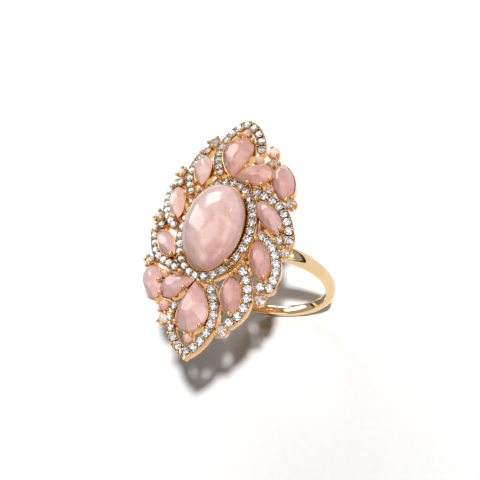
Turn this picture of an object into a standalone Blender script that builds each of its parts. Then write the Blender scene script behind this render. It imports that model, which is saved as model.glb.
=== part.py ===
"""Cocktail ring: a long navette face of pink opals and small diamonds on a slim gold shank.

The ring stands on its shank. The finger's axis is Y, the face looks up along +Z, and the origin is
where the shank touches the table. The face has half-turn symmetry about Z.
"""

import math

import bmesh
import bpy
from mathutils import Matrix, Vector

MM = 0.001

# Shank and finger hole
HOLE_RADIUS = 8.65 * MM
SHANK_RADIUS = 9.89 * MM
SHANK_HALF_WIDTH_BACK = 0.68 * MM
SHANK_HALF_WIDTH_TOP = 1.35 * MM
SHANK_STEPS = 40

# The face is a shallow dome: its height falls off with the square of x and y
FACE_TOP = 23.47 * MM
DROP_X = 16.8
DROP_Y = 4.2

# Centre cabochon and the halo of small diamonds around it
CENTRE_A = 3.87 * MM
CENTRE_B = 5.76 * MM
CENTRE_HEIGHT = 3.0 * MM
HALO_A = 4.75 * MM
HALO_B = 6.49 * MM
HALO_COUNT = 30
CENTRE_INNER = 0.6 * MM
CENTRE_CLAWS = (2 / 20, 8 / 20, 12 / 20, 18 / 20)

# Small diamonds, and the channel that holds a row of them
MELEE_RADIUS = 0.49 * MM
MELEE_TABLE = 0.2 * MM
MELEE_DEPTH = 0.5 * MM
WAIST = 0.62
CHANNEL_HALF_WIDTH = 0.58 * MM
CHANNEL_LIP = 0.54 * MM
CHANNEL_END = 0.62
CHANNEL_DEPTH = 1.1 * MM
LIP_RISE = 0.04 * MM
PROW_REACH = 0.97 * MM

# Collets, cups and claws
CLEARANCE = 0.04 * MM
COLLET_WALL = 0.16 * MM
COLLET_DEPTH = 1.1 * MM
STONE_BASE = 0.4 * MM
CUP_DEPTH = 1.15 * MM
BAR_DEPTH = 1.0 * MM
BAR_STAGGER = 0.04 * MM
CLAW_FOOT = 0.9 * MM
ACCENT_RADIUS = 0.66 * MM

# Gallery under the face
RAIL_A = 5.5 * MM
RAIL_B = 9.8 * MM
RAIL_HALF = 0.42 * MM
RAIL_DROP = 2.15 * MM
CROSS_RAIL_Y = 3.4 * MM
SADDLE_X = 5.1 * MM
SADDLE_Y = 0.75 * MM
SADDLE_HALF = 0.42 * MM

# Petals on the +X side: the row's route, the number of diamonds and the marquise's two tips
PETALS = {
    "upper": {
        "route": [(4.55, 4.95), (5.85, 4.18), (7.35, 3.15), (8.35, 1.9), (9.05, 0.3), (9.45, -1.45), (8.4, -1.6)],
        "corner": (9.45, -1.45),
        "tips": [(5.22, 3.18), (8.42, -0.55)],
        "half_width": 0.94,
        "count": 9,
        "bars": (1, 5),
        "claw_ends": (0,),
        "claws": (0.1, 0.35, 0.6),
    },
    "middle": {
        "route": [(6.25, -1.2), (7.2, -2.05), (7.95, -3.15), (8.45, -4.7), (8.55, -6.25), (8.15, -7.75), (7.1, -7.7)],
        "corner": (8.15, -7.75),
        "tips": [(5.87, -2.05), (7.3, -6.78)],
        "half_width": 1.1,
        "count": 9,
        "bars": (0, 4),
        "claw_ends": (0, 0.5),
        "claws": (0.1, 0.35, 0.5),
    },
    "lower": {
        "route": [(4.85, -5.9), (5.45, -7.1), (5.8, -8.6), (5.7, -10.1), (5.1, -11.3), (4.2, -12.15)],
        "corner": None,
        "tips": [(3.42, -6.62), (4.28, -11.2)],
        "half_width": 1.14,
        "count": 7,
        "bars": (1, 5),
        "claw_ends": (0, 0.5),
        "claws": (0.2, 0.4, 0.55),
    },
}

# The tip's row, from beside the cluster round the apex to the halo
TIP_FIRST_SIDE = [(3.5, 9.95), (3.72, 11.3), (3.4, 12.6), (2.75, 13.85), (1.85, 14.95), (0.75, 15.65)]
TIP_SECOND_SIDE = [(0.75, 15.65), (-0.5, 15.0), (-1.35, 13.95), (-1.95, 12.65), (-2.17, 11.5), (-2.05, 10.4),
                   (-1.7, 9.25), (-1.25, 8.15)]
TIP_COUNTS = (6, 9)
TIP_ACCENT_CLAWS = (0.55, 0.8, 0.95)
CLUSTER_CLAWS = {"inner": (0.3,), "outer": (0.3,), "edge": (0.05, 0.35)}

GOLD = ((0.83, 0.55, 0.28, 1.0), 0.12, 1.0)
OPAL = ((0.88, 0.60, 0.55, 1.0), 0.15, 0.0)
PALE_OPAL = ((0.90, 0.72, 0.64, 1.0), 0.15, 0.0)
DIAMOND = ((0.92, 0.93, 0.95, 1.0), 0.02, 0.0)
MORGANITE = ((0.93, 0.84, 0.80, 1.0), 0.03, 0.0)


def reset_scene():
    for obj in list(bpy.data.objects):
        bpy.data.objects.remove(obj, do_unlink=True)


def make_material(name, look):
    colour, roughness, metallic = look
    material = bpy.data.materials.new(name)
    material.use_nodes = True
    shader = material.node_tree.nodes["Principled BSDF"]
    shader.inputs["Base Color"].default_value = colour
    shader.inputs["Roughness"].default_value = roughness
    shader.inputs["Metallic"].default_value = metallic
    return material


def add_object(name, mesh, look, partner=False):
    """One node. A partner is the same mesh after half a turn about Z."""
    obj = bpy.data.objects.new(name, mesh)
    bpy.context.collection.objects.link(obj)
    if not mesh.materials:
        mesh.materials.append(make_material(name, look))
    if partner:
        obj.rotation_euler.z = math.pi
    return obj


def finish_mesh(name, bm, smooth=True):
    bmesh.ops.recalc_face_normals(bm, faces=bm.faces)
    mesh = bpy.data.meshes.new(name)
    bm.to_mesh(mesh)
    bm.free()
    if smooth:
        mesh.shade_smooth()
        mesh.set_sharp_from_angle(angle=math.radians(35))
    return mesh


# ---------------------------------------------------------------- the face's surface


def face_normal(x, y):
    return Vector((2 * DROP_X * x, 2 * DROP_Y * y, 1)).normalized()


def face_point(x, y):
    return Vector((x, y, FACE_TOP - DROP_X * x * x - DROP_Y * y * y))


def seat_matrix(centre, heading):
    """A frame on the face: Z is the face's normal, and Y lies along the heading."""
    z_axis = face_normal(*centre)
    y_axis = Vector((heading[0], heading[1], 0))
    y_axis = (y_axis - z_axis * y_axis.dot(z_axis)).normalized()
    x_axis = y_axis.cross(z_axis)
    matrix = Matrix((x_axis, y_axis, z_axis)).transposed().to_4x4()
    return Matrix.Translation(face_point(*centre)) @ matrix


def in_mm(points):
    return [(x * MM, y * MM) for x, y in points]


# ---------------------------------------------------------------- outlines, in a stone's own plane


def ellipse(a, b, count):
    turns = [2 * math.pi * k / count for k in range(count)]
    return [(a * math.sin(t), b * math.cos(t)) for t in turns]


def marquise(a, b, count):
    """A pointed lens, its tips at +Y and -Y."""
    turns = [2 * math.pi * k / count for k in range(count)]
    return [(a * math.copysign(abs(math.sin(t)) ** 1.35, math.sin(t)), b * math.cos(t)) for t in turns]


def pear(a, b, count):
    """A drop, its point at +Y."""
    turns = [2 * math.pi * k / count for k in range(count)]
    return [(1.3 * a * math.sin(t) * math.sin(t / 2), b * math.cos(t)) for t in turns]


def pushed_out(point, distance):
    length = math.hypot(*point)
    scale = (length + distance) / length
    return (point[0] * scale, point[1] * scale)


# ---------------------------------------------------------------- lofts


def add_loft(bm, rings, closed=False):
    """Joins rings of equal length with quads, and caps the ends unless it closes on itself."""
    rows = [[bm.verts.new(point) for point in ring] for ring in rings]
    followers = rows[1:] + rows[:1] if closed else rows[1:]
    for first, second in zip(rows, followers):
        for k in range(len(first)):
            nxt = (k + 1) % len(first)
            bm.faces.new((first[k], first[nxt], second[nxt], second[k]))
    if not closed:
        bm.faces.new(rows[0])
        bm.faces.new(rows[-1])


def add_levels(bm, outline, levels, matrix):
    """A closed body of one outline, scaled at each level."""
    rings = [[matrix @ Vector((x * s, y * s, z)) for x, y in outline] for s, z in levels]
    add_loft(bm, rings)


def cabochon_levels(height):
    return [(0.78, -STONE_BASE), (1, 0), (0.88, 0.5 * height), (0.55, 0.88 * height), (0.2, height)]


# ---------------------------------------------------------------- routes of diamond rows


def smooth_route(points, steps=12):
    """Points along a Catmull-Rom curve through the given ones."""
    ends = [2 * points[0] - points[1]] + points + [2 * points[-1] - points[-2]]
    route = []
    for a, b, c, d in zip(ends, ends[1:], ends[2:], ends[3:]):
        for k in range(steps):
            t = k / steps
            route.append(0.5 * (2 * b + (c - a) * t + (2 * a - 5 * b + 4 * c - d) * t * t
                                + (3 * b - a - 3 * c + d) * t * t * t))
    return route + [points[-1]]


def evenly_spaced(route, count):
    """Count points along a route, the first and last at its ends."""
    lengths = [0.0]
    for a, b in zip(route, route[1:]):
        lengths.append(lengths[-1] + (b - a).length)
    places = []
    for k in range(count):
        wanted = lengths[-1] * k / (count - 1)
        after = next((i for i, s in enumerate(lengths) if s >= wanted and i > 0), len(route) - 1)
        share = (wanted - lengths[after - 1]) / (lengths[after] - lengths[after - 1])
        places.append(route[after - 1].lerp(route[after], min(share, 1)))
    return places


def row_places(route, corner, count):
    """Where a row's diamonds sit. Past a corner the route ends in one more diamond."""
    points = [Vector(p) for p in in_mm(route)]
    if corner is None:
        return evenly_spaced(smooth_route(points), count)
    return evenly_spaced(smooth_route(points[:-1]), count - 1) + [points[-1]]


def tip_places():
    sides = zip((TIP_FIRST_SIDE, TIP_SECOND_SIDE), TIP_COUNTS)
    first, second = (evenly_spaced(smooth_route([Vector(p) for p in in_mm(side)]), count) for side, count in sides)
    return first + second[1:]


def halo_places():
    loop = [Vector(p) for p in ellipse(HALO_A, HALO_B, 240)]
    return evenly_spaced(loop + loop[:1], HALO_COUNT + 1)[:-1]


def headings(places, closed=False):
    """The direction of travel at each place."""
    before = places[-1:] + places[:-1] if closed else [2 * places[0] - places[1]] + places[:-1]
    after = places[1:] + places[:1] if closed else places[1:] + [2 * places[-1] - places[-2]]
    return [((p - a).normalized() + (b - p).normalized()).normalized() for a, p, b in zip(before, places, after)]


def section(place, heading, profile):
    """A cross-section of (sideways, up) pairs, square to the heading and the face."""
    matrix = seat_matrix(place, heading)
    return [matrix @ Vector((side, 0, up)) for side, up in profile]


def row_profile(share, depth_share):
    half = MELEE_RADIUS * share
    top = MELEE_TABLE * depth_share
    return [(-half, 0), (-0.6 * half, top), (0.6 * half, top), (half, 0), (0, -MELEE_DEPTH * depth_share)]


def add_row(bm, places, closed=False):
    """A row of small diamonds as one body: full width at each stone, a waist in between."""
    directions = headings(places, closed)
    full = row_profile(1, 1)
    waist = row_profile(WAIST, 0.6)
    rings = []
    if not closed:
        rings.append(section(places[0] - directions[0] * 0.7 * MELEE_RADIUS, directions[0], waist))
    for k, (place, heading) in enumerate(zip(places, directions)):
        rings.append(section(place, heading, full))
        if closed or k + 1 < len(places):
            following = places[(k + 1) % len(places)]
            rings.append(section((place + following) / 2, following - place, waist))
    if not closed:
        rings.append(section(places[-1] + directions[-1] * 0.7 * MELEE_RADIUS, directions[-1], waist))
    add_loft(bm, rings, closed)


def add_channel(bm, places, closed=False, inner=CHANNEL_HALF_WIDTH):
    """The gold channel under a row: a V groove between two low lips."""
    directions = headings(places, closed)
    outer = CHANNEL_HALF_WIDTH
    profile = [(-inner, -CHANNEL_DEPTH), (-inner, LIP_RISE), (-CHANNEL_LIP, LIP_RISE),
               (0, -MELEE_DEPTH - CLEARANCE), (CHANNEL_LIP, LIP_RISE), (outer, LIP_RISE), (outer, -CHANNEL_DEPTH)]
    rings = [section(place, heading, profile) for place, heading in zip(places, directions)]
    if not closed:
        tapered = [(side * CHANNEL_END, up) for side, up in profile]
        rings.insert(0, section(places[0] - directions[0] * MELEE_RADIUS, directions[0], tapered))
        rings.append(section(places[-1] + directions[-1] * MELEE_RADIUS, directions[-1], tapered))
    add_loft(bm, rings, closed)


def add_prow(bm, places):
    """The pointed end of a tip, outside its foremost diamond."""
    k = max(range(1, len(places) - 1), key=lambda index: places[index].y)
    ahead = ((places[k] - places[k - 1]).normalized() - (places[k + 1] - places[k]).normalized()).normalized()
    widest = math.acos(CHANNEL_HALF_WIDTH / PROW_REACH)
    rings = []
    for share in (-1, 0, 1):
        toward = Matrix.Rotation(widest * share, 2) @ ahead
        reach = CHANNEL_HALF_WIDTH / math.cos(widest * (1 - abs(share)))
        profile = [(CHANNEL_LIP, -CHANNEL_DEPTH), (CHANNEL_LIP, LIP_RISE), (reach, LIP_RISE), (reach, -CHANNEL_DEPTH)]
        ring = []
        for out, up in profile:
            spot = places[k] + toward * out
            ring.append(face_point(*spot) + face_normal(*spot) * up)
        rings.append(ring)
    add_loft(bm, rings)


# ---------------------------------------------------------------- collets, cups, claws and bars


def add_collet(bm, outline, matrix, depth=COLLET_DEPTH):
    """A gold ring round a stone, with the ledge that the stone sits on."""
    rings = []
    for point in outline:
        ledge = pushed_out((point[0] * 0.78, point[1] * 0.78), CLEARANCE)
        profile = [(*pushed_out(point, CLEARANCE + COLLET_WALL), -depth),
                   (*pushed_out(point, CLEARANCE + COLLET_WALL), 0),
                   (*pushed_out(point, CLEARANCE), 0),
                   (*ledge, -STONE_BASE - CLEARANCE),
                   (point[0] * 0.66, point[1] * 0.66, -depth)]
        rings.append([matrix @ Vector(p) for p in profile])
    add_loft(bm, rings, closed=True)


def add_claw(bm, matrix, point, rod=0.13 * MM, ball=0.24 * MM, height=0.62 * MM):
    """A claw: a thin rod that rises beside the stone, with a ball at its tip."""
    foot = matrix @ Matrix.Translation((point[0], point[1], 0))
    levels = [(rod, -CLAW_FOOT), (rod, height - 0.8 * ball), (ball, height), (0.7 * ball, height + 0.7 * ball)]
    rings = [[foot @ Vector((x * r, y * r, z)) for x, y in ellipse(1, 1, 4)] for r, z in levels]
    add_loft(bm, rings)


def add_claws(bm, outline, matrix, turns, **sizes):
    """Claws beside an outline, at shares of a turn from its +Y end."""
    for turn in turns:
        corner = outline[round(turn * len(outline)) % len(outline)]
        add_claw(bm, matrix, pushed_out(corner, CLEARANCE + COLLET_WALL), **sizes)


def add_cup(bm, centre, radius, claw_turns=()):
    """A solid cup under a small round stone, with its claws."""
    matrix = seat_matrix(centre, (0, 1))
    levels = [(0.5 * radius, -CUP_DEPTH), (0.8 * radius, -STONE_BASE - CLEARANCE)]
    rings = [[matrix @ Vector((x * r, y * r, z)) for x, y in ellipse(1, 1, 6)] for r, z in levels]
    add_loft(bm, rings)
    for turn in claw_turns:
        angle = 2 * math.pi * turn
        reach = radius + CLEARANCE + 0.13 * MM
        tip = (reach * math.sin(angle), reach * math.cos(angle))
        add_claw(bm, matrix, tip, height=0.5 * MM, ball=0.2 * MM)
        add_bar(bm, centre, matrix @ Vector((*tip, 0)), half=0.12 * MM)


def add_bar(bm, start, end, half=0.25 * MM, rise=0.3 * MM, depth=BAR_DEPTH):
    """A flat bar under the face, from one place to another."""
    start, end = Vector(start[:2]), Vector(end[:2])
    profile = [(-half, -depth), (-half, rise - depth), (half, rise - depth), (half, -depth)]
    rings = [section(start, end - start, profile), section(end, end - start, profile)]
    add_loft(bm, rings)


def add_bars(bm, pairs):
    """Several bars, each a little lower than the last, so that their faces don't share a plane."""
    for k, (start, end) in enumerate(pairs):
        add_bar(bm, start, end, depth=BAR_DEPTH + k * BAR_STAGGER)


def fused(name, body, extras):
    """One closed mesh from a body and the overlapping shapes added to it."""
    main = bpy.data.objects.new(name, finish_mesh(name, body, smooth=False))
    other = bpy.data.objects.new(name + "_extras", finish_mesh(name + "_extras", extras, smooth=False))
    for obj in (main, other):
        bpy.context.collection.objects.link(obj)
    union = main.modifiers.new("union", "BOOLEAN")
    union.operation = "UNION"
    union.solver = "EXACT"
    union.use_self = True
    union.object = other
    graph = bpy.context.evaluated_depsgraph_get()
    mesh = bpy.data.meshes.new_from_object(main.evaluated_get(graph))
    for obj in (main, other):
        bpy.data.objects.remove(obj, do_unlink=True)
    mesh.shade_smooth()
    mesh.set_sharp_from_angle(angle=math.radians(35))
    return mesh


# ---------------------------------------------------------------- stones of the face

PEAR_COUNT = 12
LARGE_PEAR = {"centre": (0.68, 10.28), "point": (0.76, 7.15), "size": (2.02, 2.96), "height": 1.4}
SMALL_PEAR = {"centre": (3.72, 7.34), "point": (1.4, 7.04), "size": (1.4, 2.18), "height": 1.2}
OVAL = {"centre": (7.45, 6.5), "end": (6.55, 8.75), "size": (1.22, 2.18), "height": 1.2}

# Small round opals: centre and radius
ROUNDS = {"inner": ((5.87, 5.5), 0.53), "outer": ((5.35, 9.65), 0.6), "edge": ((4.95, 11.25), 0.56),
          "tip": ((0.85, 14.0), 0.58)}
EXTRA_ROUND = ((3.75, 9.55), 0.55)

# Pale faceted stones on the outer edge
ACCENTS = {"upper": (8.85, 3.45), "middle": (9.2, -3.1), "lower": (7.3, -9.25), "tip": (3.1, -13.35)}


def pair_vectors(first, second):
    return Vector(in_mm([first])[0]), Vector(in_mm([second])[0])


def petal_stone(petal):
    """A petal's marquise: its seat and its outline."""
    first, second = pair_vectors(*petal["tips"])
    matrix = seat_matrix((first + second) / 2, second - first)
    return matrix, marquise(petal["half_width"] * MM, (second - first).length / 2, 12)


def pointed_stone(stone, shape, far="point"):
    centre, end = pair_vectors(stone["centre"], stone[far])
    a, b = (size * MM for size in stone["size"])
    return seat_matrix(centre, end - centre), shape(a, b, PEAR_COUNT)


def stone_mesh(name, matrix, outline, height):
    bm = bmesh.new()
    add_levels(bm, outline, cabochon_levels(height), matrix)
    return finish_mesh(name, bm)


def round_stone(name, centre, radius, height=0.6 * MM):
    matrix = seat_matrix(centre, (0, 1))
    return stone_mesh(name, matrix, ellipse(radius, radius, 8), height)


def faceted_stone(name, centre, radius):
    bm = bmesh.new()
    levels = [(0.6, -STONE_BASE), (1, 0), (0.6, 0.5 * radius)]
    add_levels(bm, ellipse(radius, radius, 8), levels, seat_matrix(centre, (0, 1)))
    return finish_mesh(name, bm, smooth=False)


def build_stones():
    centre = stone_mesh("centre_cabochon", seat_matrix((0, 0), (0, 1)),
                        ellipse(CENTRE_A, CENTRE_B, 20), CENTRE_HEIGHT)
    add_object("centre_cabochon", centre, OPAL)
    pairs = []
    for key, petal in PETALS.items():
        name = "marquise_" + key
        pairs.append((name, stone_mesh(name, *petal_stone(petal), 1.0 * MM), PALE_OPAL))
    for name, stone, shape, far in (("large_pear", LARGE_PEAR, pear, "point"),
                                    ("small_pear", SMALL_PEAR, pear, "point"),
                                    ("oval_opal", OVAL, ellipse, "end")):
        matrix, outline = pointed_stone(stone, shape, far)
        pairs.append((name, stone_mesh(name, matrix, outline, stone["height"] * MM), OPAL))
    for key, (place, radius) in ROUNDS.items():
        name = "round_opal_" + key
        pairs.append((name, round_stone(name, in_mm([place])[0], radius * MM), PALE_OPAL))
    for key, place in ACCENTS.items():
        name = "accent_stone_" + key
        pairs.append((name, faceted_stone(name, in_mm([place])[0], ACCENT_RADIUS), MORGANITE))
    for name, mesh, look in pairs:
        add_object(name + "_a", mesh, look)
        add_object(name + "_b", mesh, look, partner=True)
    place, radius = EXTRA_ROUND
    extra = round_stone("round_opal_extra", in_mm([place])[0], radius * MM)
    add_object("round_opal_extra", extra, PALE_OPAL)


# ---------------------------------------------------------------- diamond rows


def row_mesh(name, places, closed=False):
    bm = bmesh.new()
    add_row(bm, places, closed)
    return finish_mesh(name, bm, smooth=False)


def petal_places(petal):
    return row_places(petal["route"], petal["corner"], petal["count"])


def build_rows():
    add_object("halo_diamonds", row_mesh("halo_diamonds", halo_places(), closed=True), DIAMOND)
    for key, petal in PETALS.items():
        name = "diamond_row_" + key
        mesh = row_mesh(name, petal_places(petal))
        add_object(name + "_a", mesh, DIAMOND)
        add_object(name + "_b", mesh, DIAMOND, partner=True)
    add_object("tip_diamonds_a", row_mesh("tip_diamonds_a", tip_places()[1:]), DIAMOND)
    add_object("tip_diamonds_b", row_mesh("tip_diamonds_b", tip_places()), DIAMOND, partner=True)


# ---------------------------------------------------------------- gold settings


def build_centre_setting():
    body = bmesh.new()
    add_channel(body, halo_places(), closed=True, inner=CENTRE_INNER)
    extras = bmesh.new()
    outline = ellipse(CENTRE_A, CENTRE_B, 20)
    matrix = seat_matrix((0, 0), (0, 1))
    add_collet(extras, outline, matrix)
    add_claws(extras, outline, matrix, CENTRE_CLAWS, rod=0.12 * MM, ball=0.3 * MM, height=0.95 * MM)
    for side in (-1, 1):
        reach = (HALO_A + CENTRE_A) / 2
        add_bar(extras, (side * reach * 0.8, -HALO_B * 0.55), (side * reach * 0.8, HALO_B * 0.55))
    mesh = fused("centre_setting", body, extras)
    add_object("centre_setting", mesh, GOLD)


def nearest_place(places, point):
    return min(places, key=lambda place: (place - Vector(point)).length)


def build_petal(key, petal):
    places = petal_places(petal)
    body = bmesh.new()
    add_channel(body, places)
    extras = bmesh.new()
    matrix, outline = petal_stone(petal)
    add_collet(extras, outline, matrix)
    add_claws(extras, outline, matrix, petal["claw_ends"])
    accent = in_mm([ACCENTS[key]])[0]
    add_cup(extras, accent, ACCENT_RADIUS, petal["claws"])
    bars = [(matrix.translation, places[k]) for k in petal["bars"]]
    add_bars(extras, bars + [(accent, nearest_place(places, accent))])
    return fused("petal_frame_" + key, body, extras)


def build_tip(places, name):
    body = bmesh.new()
    add_channel(body, places)
    extras = bmesh.new()
    add_prow(extras, places)
    matrix, outline = pointed_stone(LARGE_PEAR, pear)
    add_collet(extras, outline, matrix)
    add_claws(extras, outline, matrix, (0, 3 / 12, 5 / 12, 7 / 12, 9 / 12))
    tip_round = in_mm([ROUNDS["tip"][0]])[0]
    add_cup(extras, tip_round, ROUNDS["tip"][1] * MM)
    x, y = in_mm([ACCENTS["tip"]])[0]
    accent = (-x, -y)
    add_cup(extras, accent, ACCENT_RADIUS, TIP_ACCENT_CLAWS)
    centre = matrix.translation
    apex = max(places, key=lambda place: place.y)
    add_bars(extras, [(centre, apex), (centre, places[-3]), (centre, places[2]),
                      (accent, nearest_place(places, accent))])
    return fused(name, body, extras)


def build_cluster(name, extra):
    body = bmesh.new()
    matrix, outline = pointed_stone(SMALL_PEAR, pear)
    add_collet(body, outline, matrix)
    extras = bmesh.new()
    add_claws(extras, outline, matrix, (3 / 12, 6 / 12, 9 / 12))
    pear_centre = matrix.translation
    oval_matrix, oval_outline = pointed_stone(OVAL, ellipse, "end")
    add_collet(extras, oval_outline, oval_matrix)
    add_claws(extras, oval_outline, oval_matrix, (2 / 12, 5 / 12, 8 / 12, 10 / 12))
    oval_centre = oval_matrix.translation
    for key, turns in CLUSTER_CLAWS.items():
        place, radius = ROUNDS[key]
        add_cup(extras, in_mm([place])[0], radius * MM, turns)
    outer = in_mm([ROUNDS["outer"][0]])[0]
    edge = in_mm([ROUNDS["edge"][0]])[0]
    inner = in_mm([ROUNDS["inner"][0]])[0]
    bars = [(pear_centre, oval_centre), (pear_centre, outer), (outer, edge), (inner, oval_centre)]
    if extra:
        place, radius = EXTRA_ROUND
        add_cup(extras, in_mm([place])[0], radius * MM, (0.9,))
        bars.append((in_mm([place])[0], pear_centre))
    add_bars(extras, bars)
    return fused(name, body, extras)


def build_settings():
    build_centre_setting()
    for key, petal in PETALS.items():
        mesh = build_petal(key, petal)
        add_object("petal_frame_" + key + "_a", mesh, GOLD)
        add_object("petal_frame_" + key + "_b", mesh, GOLD, partner=True)
    add_object("tip_frame_a", build_tip(tip_places()[1:], "tip_frame_a"), GOLD)
    add_object("tip_frame_b", build_tip(tip_places(), "tip_frame_b"), GOLD, partner=True)
    add_object("cluster_setting_a", build_cluster("cluster_setting_a", True), GOLD)
    add_object("cluster_setting_b", build_cluster("cluster_setting_b", False), GOLD, partner=True)


# ---------------------------------------------------------------- gallery and shank


def build_gallery():
    """An oval rail under the face, two cross rails and four saddles that stand on the shank."""
    body = bmesh.new()
    loop = [Vector(p) for p in ellipse(RAIL_A, RAIL_B, 28)]
    square = [(-RAIL_HALF, -RAIL_HALF), (-RAIL_HALF, RAIL_HALF), (RAIL_HALF, RAIL_HALF), (RAIL_HALF, -RAIL_HALF)]
    lowered = [(side, up - RAIL_DROP) for side, up in square]
    add_loft(body, [section(p, d, lowered) for p, d in zip(loop, headings(loop, True))], closed=True)
    extras = bmesh.new()
    for y in (-CROSS_RAIL_Y, CROSS_RAIL_Y):
        x = RAIL_A * math.sqrt(1 - (y / RAIL_B) ** 2)
        ends = [Vector((-x, y)), Vector((x, y))]
        steps = evenly_spaced(ends, 7)
        add_loft(extras, [section(p, ends[1] - ends[0], lowered) for p in steps])
    for side_x in (-1, 1):
        for side_y in (-1, 1):
            add_saddle(extras, side_x, side_y)
    add_object("gallery_rail", fused("gallery_rail", body, extras), GOLD)


def add_saddle(bm, side_x, side_y):
    """A post from the rail down to just above the shank's shoulder."""
    x = SADDLE_X * side_x
    y = SADDLE_Y * side_y
    top = face_point(x, y).z - RAIL_DROP
    half = SADDLE_HALF
    rings = []
    for height in (0, 1):
        ring = []
        for dx, dy in ((-half, -half), (half, -half), (half, half), (-half, half)):
            under = SHANK_RADIUS + math.sqrt(SHANK_RADIUS ** 2 - (x + dx) ** 2) + CLEARANCE
            ring.append(Vector((x + dx, y + dy, top if height else under)))
        rings.append(ring)
    add_loft(bm, rings)


def build_shank():
    """A closed band, flat inside and domed outside, wider under the face."""
    bm = bmesh.new()
    rings = []
    for k in range(SHANK_STEPS):
        turn = 2 * math.pi * k / SHANK_STEPS
        rise = (1 + math.sin(turn)) / 2
        half = SHANK_HALF_WIDTH_BACK + (SHANK_HALF_WIDTH_TOP - SHANK_HALF_WIDTH_BACK) * rise ** 3
        out = Vector((math.cos(turn), 0, math.sin(turn)))
        middle = Vector((0, 0, SHANK_RADIUS))
        thick = SHANK_RADIUS - HOLE_RADIUS
        profile = [(-half, 0.1 * thick), (-0.8 * half, 0), (0.8 * half, 0), (half, 0.1 * thick),
                   (half * 0.85, 0.65 * thick), (0.35 * half, thick), (-0.35 * half, thick),
                   (-half * 0.85, 0.65 * thick)]
        rings.append([middle + out * (HOLE_RADIUS + depth) + Vector((0, across, 0)) for across, depth in profile])
    add_loft(bm, rings, closed=True)
    add_object("shank", finish_mesh("shank", bm), GOLD)


def main():
    reset_scene()
    build_shank()
    build_gallery()
    build_settings()
    build_rows()
    build_stones()


main()
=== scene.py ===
"""The cocktail ring as it looks: polished gold, pink opals and brilliant-cut diamonds.

Every piece replaces one CAD node. A piece whose name ends in _b is its _a partner after half a turn about Z.
Plan positions are in millimetres on the +X side, or on the far (+Y) tip; mm() turns them into metres.
"""

import math
import random

import bmesh
import bpy
from mathutils import Matrix, Vector


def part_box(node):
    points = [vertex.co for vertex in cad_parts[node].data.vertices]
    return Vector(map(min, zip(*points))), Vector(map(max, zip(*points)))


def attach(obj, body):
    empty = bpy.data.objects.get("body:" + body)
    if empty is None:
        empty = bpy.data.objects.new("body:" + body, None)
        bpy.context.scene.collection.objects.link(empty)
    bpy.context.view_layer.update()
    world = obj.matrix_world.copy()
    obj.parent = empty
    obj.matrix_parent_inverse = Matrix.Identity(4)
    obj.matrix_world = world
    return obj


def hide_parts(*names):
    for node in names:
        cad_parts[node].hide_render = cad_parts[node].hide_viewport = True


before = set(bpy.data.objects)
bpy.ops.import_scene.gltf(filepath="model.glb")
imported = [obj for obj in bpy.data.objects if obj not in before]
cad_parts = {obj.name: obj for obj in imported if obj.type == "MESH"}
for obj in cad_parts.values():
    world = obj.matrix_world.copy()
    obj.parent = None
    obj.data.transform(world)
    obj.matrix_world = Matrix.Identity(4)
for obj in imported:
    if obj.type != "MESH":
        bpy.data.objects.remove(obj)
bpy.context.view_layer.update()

MM = 0.001
BODY = "root"

# Sizes that the frame gives
SHANK_LOW, SHANK_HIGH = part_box("shank")
SHANK_RADIUS = (SHANK_HIGH.x - SHANK_LOW.x) / 2
STONE_LOW, STONE_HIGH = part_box("centre_cabochon")
CENTRE_A = (STONE_HIGH.x - STONE_LOW.x) / 2
CENTRE_B = (STONE_HIGH.y - STONE_LOW.y) / 2

# Shank
HOLE_RADIUS = 8.65 * MM
SHANK_HALF_WIDTH_BACK = 0.68 * MM
SHANK_HALF_WIDTH_TOP = 1.35 * MM
SHANK_STEPS = 160

# The face is a shallow dome: its height falls off with the square of x and y
FACE_TOP = 23.47 * MM
DROP_X = 16.8
DROP_Y = 4.2

# Centre cabochon's height, and the halo of diamonds around it
CENTRE_HEIGHT = 2.98 * MM
HALO_A = 4.75 * MM
HALO_B = 6.49 * MM
HALO_COUNT = 30

# Small diamonds and their channels
MELEE_RADIUS = 0.53 * MM
GIRDLE_RISE = 0.05 * MM
CHANNEL_HALF_WIDTH = 0.6 * MM
CHANNEL_DEPTH = 1.05 * MM
PROW_REACH = 0.95 * MM
RING_STEPS = 10
BEAD_RADIUS = 0.125 * MM
BEAD_SIDE = 0.44 * MM
END_BEAD_SIDE = 0.3 * MM
END_BEAD_REACH = 0.5 * MM
STONE_BASE = 0.4 * MM

# Petals on the +X side: the row's route, its diamonds, and the marquise's tips
PETALS = {
    "upper": {
        "route": [(4.5, 4.85), (5.8, 4.15), (7.35, 3.15), (8.35, 1.9), (9.05, 0.3), (9.45, -1.45),
                  (8.4, -1.6)],
        "corner": True, "count": 9, "tips": [(4.95, 3.35), (8.45, -0.62)], "half_width": 1.05,
        "bars": (1, 5), "claws": [(4.9, 3.5), (8.4, -0.42)],
    },
    "middle": {
        "route": [(6.25, -1.2), (7.2, -2.05), (7.95, -3.15), (8.45, -4.7), (8.55, -6.25), (8.15, -7.75),
                  (7.1, -7.7)],
        "corner": True, "count": 9, "tips": [(5.82, -1.95), (7.35, -6.85)], "half_width": 1.2,
        "bars": (0, 4), "claws": [(5.87, -1.9), (7.58, -6.72), (8.0, -2.02)],
    },
    "lower": {
        "route": [(4.85, -5.9), (5.45, -7.1), (5.8, -8.6), (5.7, -10.1), (5.1, -11.3), (4.2, -12.15)],
        "corner": False, "count": 7, "tips": [(3.4, -6.55), (4.32, -11.3)], "half_width": 1.22,
        "bars": (1, 5), "claws": [(3.76, -6.6), (4.2, -6.12), (4.95, -5.12), (4.35, -11.35)],
    },
}

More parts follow.
